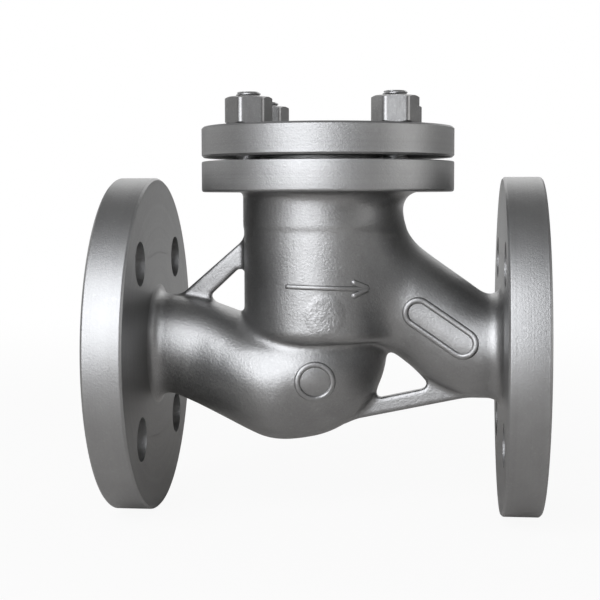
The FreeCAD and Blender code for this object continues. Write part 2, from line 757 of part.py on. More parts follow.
def main():
    """Builds every piece and writes each to its own file."""
    make_sheet()
    pieces = [
        make_valve_body(),
        make_seat_ring(),
        make_check_disc(),
        make_closing_spring(),
        make_guide_bush(),
        make_cover(),
        make_cover_gasket(),
    ]
    for place, turn in enumerate(NUT_TURNS):
        bearing = f"(stud_phase + {place} * 360 / {STUDS})"
        pieces.append(make_cover_stud(place + 1, bearing))
        pieces.append(make_cover_nut(place + 1, bearing, turn))
    doc.recompute()
    check_document(pieces)
    os.makedirs("parts", exist_ok=True)
    for piece in pieces:
        piece.Shape.exportStep(f"parts/{piece.Label}.step")
        box = piece.Shape.BoundBox
        print(f"{piece.Label}: {piece.Shape.Volume / 1000:.2f} cm3, z {box.ZMin:.2f} to {box.ZMax:.2f}")


main()
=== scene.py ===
"""Looks of a flanged lift non-return valve in cast stainless steel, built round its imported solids.

Lengths inside the classes are millimetres in the valve's own frame: X along the flow from the
bonnet axis, Y to the back, Z up from the flow axis. Scene coordinates are metres in the row frame.
"""
import logging
import math
from dataclasses import dataclass, field
from enum import Enum

import bmesh
import bpy
import numpy as np
from mathutils import Matrix, Vector


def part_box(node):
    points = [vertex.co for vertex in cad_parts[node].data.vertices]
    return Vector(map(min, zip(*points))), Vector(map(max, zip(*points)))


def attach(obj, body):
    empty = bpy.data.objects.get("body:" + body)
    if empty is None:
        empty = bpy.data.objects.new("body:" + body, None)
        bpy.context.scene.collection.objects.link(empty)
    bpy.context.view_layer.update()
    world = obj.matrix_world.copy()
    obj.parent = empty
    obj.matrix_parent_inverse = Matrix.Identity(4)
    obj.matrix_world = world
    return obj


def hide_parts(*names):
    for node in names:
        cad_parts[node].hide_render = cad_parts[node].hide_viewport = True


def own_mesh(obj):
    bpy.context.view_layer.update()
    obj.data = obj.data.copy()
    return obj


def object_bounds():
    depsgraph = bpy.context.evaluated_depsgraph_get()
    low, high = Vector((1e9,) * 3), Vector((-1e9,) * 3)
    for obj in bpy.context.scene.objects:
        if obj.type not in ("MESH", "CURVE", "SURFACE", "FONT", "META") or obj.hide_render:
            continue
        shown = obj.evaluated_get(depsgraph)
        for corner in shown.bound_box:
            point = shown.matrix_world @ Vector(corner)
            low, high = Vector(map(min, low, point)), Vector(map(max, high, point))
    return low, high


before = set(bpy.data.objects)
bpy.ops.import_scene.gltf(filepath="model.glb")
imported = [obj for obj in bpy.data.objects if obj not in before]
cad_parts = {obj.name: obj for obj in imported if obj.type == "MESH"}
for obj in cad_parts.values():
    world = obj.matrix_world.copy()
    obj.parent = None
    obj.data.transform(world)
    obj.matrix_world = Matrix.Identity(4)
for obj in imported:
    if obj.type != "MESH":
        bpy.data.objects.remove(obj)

log = logging.getLogger("valve")
CAD_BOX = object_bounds()

MILLIMETRE = 0.001
NUT_TURNS = (33.0, 43.0, 46.0, 35.0)  # degrees, in the order of the CAD nodes
BONNET_AXIS_X = sum(corner[0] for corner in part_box("body")) / 2 / MILLIMETRE


class Slot(Enum):
    """The record's material slot names; no piece here is given one."""

    CAST = "cast_body"
    SPRING = "spring_wire"
    STUD = "stud_steel"
    NUT = "nut_steel"


# --------------------------------------------------------------------------- shader expressions


class Signal:
    """A socket's value in a node tree, on which Python's operators add Math nodes."""

    def __init__(self, tree: bpy.types.NodeTree, socket: bpy.types.NodeSocket) -> None:
        """Keeps the tree and the socket."""
        self.tree = tree
        self.socket = socket

    def math(self, operation: str, *others: "Signal | float") -> "Signal":
        """One Math node.

        Args:
            operation: the Math node's operation.
            others: its further operands, signals or numbers.

        Returns:
            The node's result.
        """
        return make_node(self.tree, "ShaderNodeMath", {"operation": operation}, {0: self, **dict(enumerate(others, 1))})

    def __add__(self, other: "Signal | float") -> "Signal":
        """Sum."""
        return self.math("ADD", other)

    def __rsub__(self, other: float) -> "Signal":
        """Difference from a number."""
        return make_node(self.tree, "ShaderNodeMath", {"operation": "SUBTRACT"}, {0: other, 1: self})

    def __mul__(self, other: "Signal | float") -> "Signal":
        """Product."""
        return self.math("MULTIPLY", other)

    def between(self, low: float, high: float) -> "Signal":
        """Nought below low, one above high, and a smooth step between them."""
        settings = {"interpolation_type": "SMOOTHSTEP"}
        return make_node(self.tree, "ShaderNodeMapRange", settings, {0: self, 1: low, 2: high, 3: 0.0, 4: 1.0})


def make_node(
    tree: bpy.types.NodeTree, kind: str, settings: dict | None = None, inputs: dict | None = None, output: int | str = 0
) -> Signal:
    """Adds any node.

    Args:
        tree: the node tree.
        kind: the node's type.
        settings: its properties, set before its sockets; a list of stops goes to a colour ramp.
        inputs: values or signals by socket name or number.
        output: the socket that is wanted.

    Returns:
        That socket as a signal.
    """
    node = tree.nodes.new(kind)
    for name, value in (settings or {}).items():
        setattr(node, name, value)
    for key, value in (inputs or {}).items():
        if isinstance(value, Signal):
            tree.links.new(value.socket, node.inputs[key])
        elif value is not None:
            node.inputs[key].default_value = value
    return Signal(tree, node.outputs[output])


def noise(tree: bpy.types.NodeTree, place: Signal, scale: float, detail: float, roughness: float = 0.5) -> Signal:
    """Noise of a place, from nought to one."""
    inputs = {"Vector": place, "Scale": scale, "Detail": detail, "Roughness": roughness}
    return make_node(tree, "ShaderNodeTexNoise", {}, inputs)


def vector_math(
    tree: bpy.types.NodeTree, operation: str, first: Signal, second: Signal | tuple | None = None
) -> Signal:
    """One Vector Math node. Distances, lengths and dot products give a number, the others a vector."""
    output = "Value" if operation in ("DISTANCE", "LENGTH", "DOT_PRODUCT") else "Vector"
    return make_node(tree, "ShaderNodeVectorMath", {"operation": operation}, {0: first, 1: second}, output)


def emptied_tree(owner: bpy.types.Material | bpy.types.World) -> bpy.types.NodeTree:
    """The node tree of a material or world, without its nodes."""
    owner.use_nodes = True
    owner.node_tree.nodes.clear()
    return owner.node_tree


def kinds_of_ray(tree: bpy.types.NodeTree) -> tuple[Signal, Signal]:
    """Whether a ray comes from the camera, and whether it was mirrored or let through."""
    paths = tree.nodes.new("ShaderNodeLightPath")
    seen, mirrored, passed = (
        Signal(tree, paths.outputs[name]) for name in ("Is Camera Ray", "Is Glossy Ray", "Is Transmission Ray")
    )
    return seen, mirrored.math("MAXIMUM", passed)


def blend_colours(
    tree: bpy.types.NodeTree, share: Signal | float, first: Signal | tuple, second: Signal | tuple
) -> Signal:
    """Mixes two colours by a share from nought to one."""
    settings = {"data_type": "RGBA", "blend_type": "MIX"}
    return make_node(tree, "ShaderNodeMix", settings, {0: share, 6: first, 7: second}, output=2)


def grey(level: float, warmth: float = 0.0) -> tuple[float, float, float, float]:
    """A grey, a little warm or cool."""
    return (level * (1 + warmth), level, level * (1 - warmth), 1.0)


@dataclass(frozen=True)
class SteelFinish:
    """A metal surface: its greys with painted glint flecks, its roughness, its grain and, where it was turned, its tool
    lines.
    """

    name: str
    dark: float
    light: float
    warmth: float = 0.0
    roughness: float = 0.42
    roughness_spread: float = 0.08
    metallic: float = 1.0
    grain_per_metre: float = 2600.0
    grain_depth: float = 0.00006
    lump_per_metre: float = 150.0
    lump_depth: float = 0.0
    # share of painted glint flecks: a lighter grey mixed into the base colour
    painted_glint_share: float = 0.0
    tool_lines_per_metre: float = 0.0
    tool_line_depth: float = 0.0
    tool_axis: str = "X"
    dressed: bool = False

    def material(self) -> bpy.types.Material:
        """Builds the finish as a node material.

        Returns:
            The material, with patches, fine grain, painted glints (bright flecks in the base colour) and tool lines
            worked out from Object coordinates.
        """
        material = bpy.data.materials.new(self.name)
        tree = emptied_tree(material)
        place = make_node(tree, "ShaderNodeTexCoord", output="Object")
        patches = noise(tree, place, 45.0, 4.0, 0.6)
        grain = noise(tree, place, self.grain_per_metre, 3.0, 0.65)
        lumps = noise(tree, place, self.lump_per_metre, 2.5)
        glint_fleck_mask = noise(tree, place, self.grain_per_metre * 0.55, 1.0)
        tone = patches * 0.6 + grain * 0.4
        if self.tool_lines_per_metre:
            tone = tone * 0.7 + self.tool_lines(tree, place, self.tool_lines_per_metre * 0.3) * 0.3
        base = blend_colours(tree, tone.between(0.3, 0.7), grey(self.dark, self.warmth), grey(self.light, self.warmth))
        # Painted glints: bright flecks of a lighter grey mixed into the base colour where the fleck noise is high,
        # standing in for the sparkle of blasted steel.
        if self.painted_glint_share:
            painted_glint_grey = grey(min(self.light * 1.7, 0.95))
            base = blend_colours(tree, glint_fleck_mask.between(0.6, 0.78) * self.painted_glint_share, base, painted_glint_grey)
        spread = self.roughness_spread
        rough = patches * spread + grain * spread + (self.roughness - spread)
        height = grain * self.grain_depth
        if self.lump_depth:
            height = height + lumps * self.lump_depth
        if self.tool_lines_per_metre:
            height = height + self.tool_lines(tree, place, self.tool_lines_per_metre) * self.tool_line_depth
        if self.dressed:
            height = height + self.dressed_patch(tree, place) * 0.0003
        bump = make_node(tree, "ShaderNodeBump", {}, {"Strength": 1.0, "Distance": 1.0, "Height": height})
        shader = make_node(
            tree,
            "ShaderNodeBsdfPrincipled",
            {},
            {"Base Color": base, "Metallic": self.metallic, "Roughness": rough, "Normal": bump},
        )
        make_node_output(tree, shader)
        return material

    def dressed_patch(self, tree: bpy.types.NodeTree, place: Signal) -> Signal:
        """The coarse patch on the neck's front below the arrow, where the casting was dressed.

        Args:
            tree: the node tree.
            place: the Object coordinates.

        Returns:
            A height from nought to one: coarse noise inside a sphere round the patch's middle.
        """
        middle = tuple(length * MILLIMETRE for length in (BONNET_AXIS_X + 1.6, -32.8, 15.0))
        reach = vector_math(tree, "DISTANCE", place, middle)
        coarse = noise(tree, place, 520.0, 2.0)
        return (1.0 - (reach + coarse * 0.003).between(0.0075, 0.0105)) * (coarse * 0.8 + 0.2)

    def tool_lines(self, tree: bpy.types.NodeTree, place: Signal, per_metre: float) -> Signal:
        """Fine uneven rings round one axis, as a lathe leaves them.

        Args:
            tree: the node tree.
            place: the Object coordinates.
            per_metre: the rings in a metre.

        Returns:
            A height from nought to one: noise of the place along the axis and the distance from it,
            so that rims and faces both carry rings.
        """
        centred = vector_math(tree, "SUBTRACT", place, (BONNET_AXIS_X * MILLIMETRE, 0.0, 0.0))
        across = tuple(0.0 if axis == self.tool_axis else 1.0 for axis in "XYZ")
        along = tuple(1.0 - share for share in across)
        distance = vector_math(tree, "LENGTH", vector_math(tree, "MULTIPLY", centred, across))
        height = vector_math(tree, "DOT_PRODUCT", centred, along)
        rings = make_node(tree, "ShaderNodeCombineXYZ", {}, {0: height, 1: distance})
        return noise(tree, rings, per_metre, 2.0)


def make_node_output(tree: bpy.types.NodeTree, shader: Signal) -> None:
    """Joins a shader to the material's output."""
    output = tree.nodes.new("ShaderNodeOutputMaterial")
    tree.links.new(shader.socket, output.inputs["Surface"])


# The twelfth value of each finish is its share of painted glint flecks in the base colour.
CAST_STEEL = SteelFinish(
    "shot_blasted_casting", 0.29, 0.38, 0.004, 0.41, 0.06, 1.0, 1100.0, 0.00012, 110.0, 0.00012, 0.15, dressed=True
)
RIM_STEEL = SteelFinish(
    "turned_rim", 0.31, 0.37, 0.002, 0.44, 0.05, 1.0, 1200.0, 0.00008, 150.0, 0.0, 0.1, 1500.0, 0.00003, "X"
)
# Painted shade: the rim's turned steel in darker greys, put on the flange faces that look along the flow.
SHADED_FACE_STEEL = SteelFinish(
    "faced_flange_painted_shade", 0.18, 0.24, 0.002, 0.44, 0.05, 1.0, 1200.0, 0.00008, 150.0, 0.0, 0.1, 1500.0, 0.00004, "X"
)
COVER_STEEL = SteelFinish(
    "turned_cover", 0.32, 0.40, 0.002, 0.46, 0.05, 1.0, 1200.0, 0.00010, 150.0, 0.0, 0.1, 1800.0, 0.00003, "Z"
)
INNER_STEEL = SteelFinish("fine_turned_steel", 0.50, 0.60, 0.0, 0.28, 0.05, 1.0, 3000.0, 0.00001)
WIRE_STEEL = SteelFinish("drawn_spring_wire", 0.46, 0.56, 0.0, 0.30, 0.05, 1.0, 3000.0, 0.00001)
GRAPHITE = SteelFinish("pressed_graphite", 0.03, 0.06, 0.0, 0.60, 0.08, 0.0, 3000.0, 0.00004)
STUD_STEEL = SteelFinish("bright_stud", 0.50, 0.62, 0.0, 0.34, 0.06, 1.0, 3000.0, 0.00001)
NUT_STEEL = SteelFinish("satin_nut", 0.27, 0.36, 0.006, 0.36, 0.06, 1.0, 1900.0, 0.00003, 300.0, 0.00006, 0.3)


# ------------------------------------------------------------------------------ mesh building


def add_object(name: str, data: bpy.types.ID) -> bpy.types.Object:
    """A new object in the scene."""
    made = bpy.data.objects.new(name, data)
    bpy.context.scene.collection.objects.link(made)
    return made


def unit(vectors: np.ndarray) -> np.ndarray:
    """The vectors, brought to length one."""
    return vectors / np.linalg.norm(vectors, axis=-1, keepdims=True)


def full_turn(steps: int) -> np.ndarray:
    """The evenly spaced angles of one turn, in radians."""
    return np.linspace(0, 2 * math.pi, steps + 1)[:-1]


def node_box(node: str) -> tuple[np.ndarray, np.ndarray]:
    """A CAD node's box in the valve's own frame, in millimetres."""
    low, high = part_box(node)
    shift = (BONNET_AXIS_X, 0.0, 0.0)
    return np.array(low) / MILLIMETRE - shift, np.array(high) / MILLIMETRE - shift


def add_piece(name: str, points: np.ndarray, faces: list | np.ndarray, smooth_below: float = 35.0) -> bpy.types.Object:
    """Makes a mesh piece whose object sits at the origin.

    Args:
        name: the piece's name.
        points: vertices in the valve's frame, in millimetres.
        faces: corner numbers of each face.
        smooth_below: faces that meet at less than this many degrees are shaded smooth.

    Returns:
        The new object.
    """
    placed = (np.asarray(points, float) + (BONNET_AXIS_X, 0.0, 0.0)) * MILLIMETRE
    mesh = bpy.data.meshes.new(name)
    mesh.from_pydata(placed.tolist(), [], faces.tolist() if isinstance(faces, np.ndarray) else faces)
    mesh.update()
    mesh.shade_smooth()
    mesh.set_sharp_from_angle(angle=math.radians(smooth_below))
    return add_object(name, mesh)


def close_and_orient(piece: bpy.types.Object, sharp_above: float | None = None, within: float = 0.00001) -> None:
    """Welds a piece's seams and poles and turns its faces outwards.

    Args:
        piece: the piece.
        sharp_above: the angle in degrees from which edges are shaded sharp, unless they stay as they are.
        within: how near vertices are welded, in metres.
    """
    work = bmesh.new()
    work.from_mesh(piece.data)
    bmesh.ops.remove_doubles(work, verts=work.verts, dist=within)
    bmesh.ops.dissolve_degenerate(work, edges=work.edges, dist=within * 0.1)
    bmesh.ops.recalc_face_normals(work, faces=work.faces)
    work.to_mesh(piece.data)
    work.free()
    piece.data.update()
    if sharp_above is not None:
        piece.data.set_sharp_from_angle(angle=math.radians(sharp_above))


def grid_faces(rows: int, columns: int, wrap_rows: bool, wrap_columns: bool, first: int = 0) -> np.ndarray:
    """Quads of a grid of vertices.

    Args:
        rows: how many rows of vertices.
        columns: how many in each row.
        wrap_rows: whether the last row joins the first.
        wrap_columns: whether each row closes on itself.
        first: the number of the grid's first vertex.

    Returns:
        An array of four corner numbers for each quad: (i, j), (i, j+1), (i+1, j+1), (i+1, j).
    """
    i = np.arange(rows if wrap_rows else rows - 1)[:, None]
    j = np.arange(columns if wrap_columns else columns - 1)[None, :]
    a, b = i % rows, (i + 1) % rows
    c, d = j % columns, (j + 1) % columns
    return np.stack([a * columns + c, a * columns + d, b * columns + d, b * columns + c], -1).reshape(-1, 4) + first


def tube_faces(rows: int, columns: int, closed: bool = False) -> list:
    """The faces of a tube from ring to ring, with an end face at each end unless the tube is closed on itself."""
    faces = grid_faces(rows, columns, closed, True).tolist()
    if not closed:
        last = (rows - 1) * columns
        faces += [list(range(columns))[::-1], [last + k for k in range(columns)]]
    return faces


def turn_about(profile: np.ndarray, angles: np.ndarray, axis: str) -> np.ndarray:
    """Turns a profile about an axis: the point at height h and radius r goes to (h, r cos a, r sin a).

    Args:
        profile: rows of (height along the axis, radius).
        angles: the angles, in radians.
        axis: "X" or "Z".

    Returns:
        Points as (profile row, angle, 3).
    """
    height, radius = profile[:, 0][:, None], profile[:, 1][:, None]
    along = np.broadcast_to(height, (len(profile), len(angles)))
    first, second = radius * np.cos(angles), radius * np.sin(angles)
    parts = (along, first, second) if axis == "X" else (first, second, along)
    return np.stack(parts, -1)


def rounded_profile(corners: list[tuple[float, float, float]], steps: int = 5) -> np.ndarray:
    """An open profile whose corners are rounded.

    Args:
        corners: (height, radius, rounding) for each corner.
        steps: points on each rounding.

    Returns:
        The profile's points. A rounding is the parabola between the points a rounding's length
        before and after the corner, which touches both lines there.
    """
    places = np.array([corner[:2] for corner in corners], float)
    points = []
    for place, (height, radius, rounding) in enumerate(corners):
        here = places[place]
        if rounding == 0 or place in (0, len(corners) - 1):
            points.append(here[None])
            continue
        before, after = places[place - 1] - here, places[place + 1] - here
        start = here + before / np.linalg.norm(before) * rounding
        end = here + after / np.linalg.norm(after) * rounding
        share = np.linspace(0, 1, steps)[:, None]
        points.append((1 - share) ** 2 * start + 2 * share * (1 - share) * here + share**2 * end)
    return np.concatenate(points)


# --------------------------------------------------------------------- distances to cast forms


def join_smoothly(first: np.ndarray, second: np.ndarray, reach: float | np.ndarray) -> np.ndarray:
    """Union of two forms with a fillet: the smaller distance, less a quarter of reach times the
    square of how nearly equal the two are."""
    nearness = np.clip(reach - np.abs(first - second), 0, None) / reach
    return np.minimum(first, second) - nearness**2 * reach * 0.25


def within_both(first: np.ndarray, second: np.ndarray, rounding: float) -> np.ndarray:
    """What lies inside two forms, each drawn in by rounding, with the shared edge rounded by as much."""
    first, second = first + rounding, second + rounding
    outside = np.hypot(np.maximum(first, 0), np.maximum(second, 0))
    return np.minimum(np.maximum(first, second), 0) + outside - rounding


def cut_smoothly(form: np.ndarray, tool: np.ndarray, reach: float) -> np.ndarray:
    """What is left of a form outside a tool, with a rounded edge."""
    return -join_smoothly(-form, tool, reach)


def along_run(
    points: np.ndarray, start: tuple[float, float], end: tuple[float, float]
) -> tuple[np.ndarray, np.ndarray, np.ndarray]:
    """Places points along a straight run in the XZ plane.

    Args:
        points: points as (n, 3).
        start: the run's first end, as (x, z).
        end: the run's other end.

    Returns:
        For each point the share of the run, how far above the run it is, and how far past its ends.
    """
    direction = np.subtract(end, start)
    length = math.hypot(*direction)
    unit = direction / length
    x, z = points[:, 0] - start[0], points[:, 2] - start[1]
    share = x * unit[0] + z * unit[1]
    above = z * unit[0] - x * unit[1]
    beyond = np.maximum(share - length, 0) + np.minimum(share, 0)
    return np.clip(share / length, 0, 1), above, beyond


def bent_path(start: tuple, corner: tuple, end: tuple, radius: float, steps: int = 7) -> np.ndarray:
    """Two straight runs in the XZ plane with an arc of the given radius between them.

    Returns:
        The path's points as (n, 2).
    """
    start, corner, end = (np.array(place, float) for place in (start, corner, end))
    back, ahead = start - corner, end - corner
    back, ahead = back / np.hypot(*back), ahead / np.hypot(*ahead)
    half = math.acos(float(np.clip(back @ ahead, -1, 1))) / 2
    middle = (back + ahead) / np.hypot(*(back + ahead))
    centre = corner + middle * radius / math.sin(half)
    first, last = corner + back * radius / math.tan(half), corner + ahead * radius / math.tan(half)
    share = np.linspace(0, 1, steps)[:, None]
    chord = first + (last - first) * share - centre
    arc = centre + chord / np.linalg.norm(chord, axis=1)[:, None] * radius
    return np.concatenate([start[None], arc, end[None]])


def off_path(points: np.ndarray, path: np.ndarray) -> np.ndarray:
    """How far each point is, in the XZ plane, from a path of straight pieces."""
    nearest = np.full(len(points), np.inf)
    for start, end in zip(path[:-1], path[1:]):
        _, above, beyond = along_run(points, start, end)
        nearest = np.minimum(nearest, above**2 + beyond**2)
    return np.sqrt(nearest)


def smooth_share(value: np.ndarray, low: float, high: float) -> np.ndarray:
    """Nought below low, one above high, with a smooth start and end."""
    share = np.clip((value - low) / (high - low), 0, 1)
    return share * share * (3 - 2 * share)


def polygon_distance(x: np.ndarray, z: np.ndarray, corners: np.ndarray) -> np.ndarray:
    """Signed distance to a polygon: the distance to its nearest edge, negative inside.

    Args:
        x: the points' first coordinate.
        z: the points' second coordinate.
        corners: the polygon's corners as (k, 2).

    Returns:
        The distances. A point is inside if a ray from it crosses an odd number of edges.
    """
    nearest = np.full(x.shape, np.inf)
    inside = np.zeros(x.shape, bool)
    for start, end in zip(corners, np.roll(corners, -1, axis=0)):
        edge = end - start
        wx, wz = x - start[0], z - start[1]
        share = np.clip((wx * edge[0] + wz * edge[1]) / (edge @ edge), 0, 1)
        nearest = np.minimum(nearest, np.hypot(wx - share * edge[0], wz - share * edge[1]))
        crosses = (start[1] > z) != (end[1] > z)
        rise = end[1] - start[1] if end[1] != start[1] else 1e-9
        inside ^= crosses & (x < edge[0] * (z - start[1]) / rise + start[0])
    return np.where(inside, -nearest, nearest)


@dataclass(frozen=True)
class CastingForm:
    """The casting between the two end flanges and the bonnet flange, as a signed distance."""

    flange_back: float = 72.0
    bonnet_base: float = 64.0
    bend: float = 32.0
    inlet_corner: float = -61.0
    inlet_slope: float = math.radians(22.8)
    inlet_radius: float = 21.0
    inlet_swollen: float = 21.9
    inlet_half_width: float = 30.6
    inlet_swelling: tuple[float, float] = (-60.0, -36.0)
    inlet_widening: tuple[float, float] = (-56.0, -20.0)
    inlet_end_before_bowl: float = 7.0
    outlet_corner: float = 58.0
    outlet_slope: float = math.radians(37.5)
    outlet_radius: float = 20.7
    outlet_end_radius: float = 21.6
    outlet_swelling: tuple[float, float] = (40.0, 64.0)
    outlet_start: float = 4.0
    neck_x: float = -2.0
    neck_radius: float = 33.0
    neck_bottom: float = 3.0
    neck_shoulder: float = 5.0
    neck_ledge: float = 49.0
    neck_ledge_depth: float = 0.35
    neck_ledge_steepness: float = 2.2
    bowl_x: float = -13.5
    bowl_z: float = -1.0
    bowl_radius: float = 38.3
    bowl_half_width: float = 32.5
    bowl_crown: float = 16.0
    bowl_widest: float = -16.0
    bowl_narrowing: float = 0.0006
    bowl_top: float = 12.0
    bowl_upright: tuple[float, float] = (-8.0, 12.0)
    web_half: float = 2.5
    web_rounding: float = 1.2
    window_rounding: float = 2.5
    window_edge: float = 1.5
    bore: float = 16.0
    passage_corner: float = 58.0
    passage_slope: float = math.radians(25.0)
    passage_overrun: float = 20.0
    throat_top: float = 12.0
    chamber: float = 26.0
    chamber_floor: float = 8.0
    chamber_ceiling: float = 90.0
    inlet_web: tuple = ((-24.0, 54.0), (-65.0, 18.4), (-65.0, 0.0), (-24.0, 0.0))
    inlet_window: tuple = ((-46.8, 20.0), (-37.0, 29.2), (-28.0, 31.0), (-28.0, 8.0), (-45.6, 14.0))
    outlet_web: tuple = ((8.0, -32.0), (67.0, -19.6), (67.0, 0.0), (8.0, 0.0))
    outlet_window: tuple = ((22.4, -19.4), (38.9, -15.8), (27.5, 1.0), (19.0, 1.0))
    forms_fillet: float = 4.0
    outlet_fillet: float = 9.0
    web_fillet: float = 2.5
    flange_fillet: float = 6.0
    bonnet_fillet: float = 5.5
    bonnet_fillet_change: float = 3.0
    flange_reach: float = 31.0
    bonnet_reach: float = 45.0
    sunk_into_flange: float = 0.15
    buried: float = 2.0
    overrun: float = 12.0

    def inlet(self, points: np.ndarray) -> np.ndarray:
        """Distance to the inlet branch, level and then sloping down, and widening sideways towards the bowl."""
        run = self.bowl_x - self.inlet_end_before_bowl - self.inlet_corner
        low = (self.inlet_corner + run, -run * math.tan(self.inlet_slope))
        path = bent_path((-self.flange_back - self.overrun, 0.0), (self.inlet_corner, 0.0), low, self.bend)
        swell = (self.inlet_swollen - self.inlet_radius) * smooth_share(points[:, 0], *self.inlet_swelling)
        radius = self.inlet_radius + swell
        wide = radius + (self.inlet_half_width - radius) * smooth_share(points[:, 0], *self.inlet_widening)
        return np.hypot(off_path(points, path), points[:, 1] * radius / wide) - radius

    def bowl(self, points: np.ndarray) -> np.ndarray:
        """Distance to the bowl under the seat.

        Half an ellipsoid below its middle. Above it the bowl is low and crowned towards the inlet and
        upright towards the outlet, and its width shrinks with the square of the height over its
        widest level.
        """
        radii = np.array([self.bowl_radius, self.bowl_half_width, self.bowl_radius])
        offset = points - (self.bowl_x, 0.0, self.bowl_z)
        upright = smooth_share(points[:, 0], *(self.bowl_x + reach for reach in self.bowl_upright))
        flattened = self.bowl_radius / self.bowl_crown * (1 - upright)
        offset[:, 2] = np.where(offset[:, 2] > 0, offset[:, 2] * flattened, offset[:, 2])
        offset[:, 1] *= 1 + self.bowl_narrowing * np.clip(points[:, 2] - self.bowl_widest, 0, None) ** 2
        scaled = offset / radii
        size = np.linalg.norm(scaled, axis=1)
        ellipsoid = size * (size - 1) / np.maximum(np.linalg.norm(scaled / radii, axis=1), 1e-9)
        return -join_smoothly(-ellipsoid, self.bowl_top - points[:, 2], self.forms_fillet)

    def neck(self, points: np.ndarray) -> np.ndarray:
        """Distance to the upright neck: a cylinder with a rounded lower edge and a faint step near its top."""
        across = np.hypot(points[:, 0] - self.neck_x, points[:, 1])
        step = self.neck_ledge_depth / (1 + np.exp(-(points[:, 2] - self.neck_ledge) * self.neck_ledge_steepness))
        return within_both(across - self.neck_radius - step, self.neck_bottom - points[:, 2], self.neck_shoulder)

    def outlet(self, points: np.ndarray) -> np.ndarray:
        """Distance to the outlet branch, which leaves the neck obliquely and ends level."""
        corner = self.outlet_corner
        high = (self.outlet_start, (corner - self.outlet_start) * math.tan(self.outlet_slope))
        path = bent_path((self.flange_back + self.overrun, 0.0), (corner, 0.0), high, self.bend)
        swell = (self.outlet_end_radius - self.outlet_radius) * smooth_share(points[:, 0], *self.outlet_swelling)
        return np.hypot(off_path(points, path), points[:, 1]) - self.outlet_radius - swell

    def webs(self, points: np.ndarray) -> np.ndarray:
        """Distance to the two flat webs with their rounded windows."""
        x, y, z = points.T
        distance = np.full(len(points), np.inf)
        for web, window in ((self.inlet_web, self.inlet_window), (self.outlet_web, self.outlet_window)):
            hole = polygon_distance(x, z, np.array(window)) - self.window_rounding
            flat = cut_smoothly(polygon_distance(x, z, np.array(web)), hole, self.window_edge)
            distance = np.minimum(distance, within_both(flat, np.abs(y) - self.web_half, self.web_rounding))
        return distance

    def passages(self, points: np.ndarray) -> np.ndarray:
        """Distance to the hollow: both bores, the sloping passages, the throat and the chamber."""
        corner, far = self.passage_corner, self.flange_back + self.passage_overrun
        low = (0.0, -corner * math.tan(self.passage_slope))
        inlet = bent_path((-far, 0.0), (-corner, 0.0), low, self.bend)
        throat = bent_path(tuple(inlet[-2]), low, (0.0, self.throat_top), self.bore + 1.0)
        outlet = bent_path((far, 0.0), (corner, 0.0), (0.0, corner * math.tan(self.outlet_slope)), self.bend)
        off = np.minimum(off_path(points, inlet[:-1]), np.minimum(off_path(points, throat), off_path(points, outlet)))
        hollow = np.hypot(off, points[:, 1]) - self.bore
        height = points[:, 2]
        across = np.hypot(points[:, 0], points[:, 1])
        level = np.maximum(self.chamber_floor - height, height - self.chamber_ceiling)
        chamber = np.maximum(across - self.chamber, level)
        return np.minimum(hollow, chamber)

    def outside(self, points: np.ndarray) -> np.ndarray:
        """Distance to the outer skin, all forms joined by their fillets.

        Args:
            points: points as (n, 3) in millimetres.

        Returns:
            The distance of each, negative inside.
        """
        x, y, z = points.T
        belly = join_smoothly(self.inlet(points), self.bowl(points), self.forms_fillet)
        upper = join_smoothly(self.neck(points), self.outlet(points), self.outlet_fillet)
        cast = join_smoothly(upper, belly, self.forms_fillet)
        cast = join_smoothly(cast, self.webs(points), self.web_fillet)
        sunk = self.sunk_into_flange
        for side in (-1.0, 1.0):
            disc = np.maximum(self.flange_back + sunk - side * x, np.hypot(y, z) - self.flange_reach)
            cast = join_smoothly(cast, disc, self.flange_fillet)
        crown = np.maximum(self.bonnet_base + sunk - z, np.hypot(x, y) - self.bonnet_reach)
        fillet = self.bonnet_fillet + self.bonnet_fillet_change * np.clip(x / self.neck_radius, -1, 1)
        return join_smoothly(cast, crown, fillet)

    def whole(self, points: np.ndarray) -> np.ndarray:
        """Distance to the casting with its passages, cut off inside the flanges that close it."""
        x, _, z = points.T
        ends = np.maximum(np.abs(x) - self.flange_back - self.buried, z - self.bonnet_base - self.buried)
        return np.maximum(np.maximum(self.outside(points), -self.passages(points)), ends)


def in_batches(distance, points: np.ndarray, size: int = 400_000) -> np.ndarray:
    """Works a distance out for many points, a batch at a time."""
    return np.concatenate([distance(points[first : first + size]) for first in range(0, len(points), size)])


def slope_of(distance, points: np.ndarray, step: float = 0.05) -> np.ndarray:
    """The distance's gradient by central differences."""
    ahead, behind = ([in_batches(distance, points + way * step * axis) for axis in np.eye(3)] for way in (1, -1))
    return (np.stack(ahead, -1) - np.stack(behind, -1)) / (2 * step)


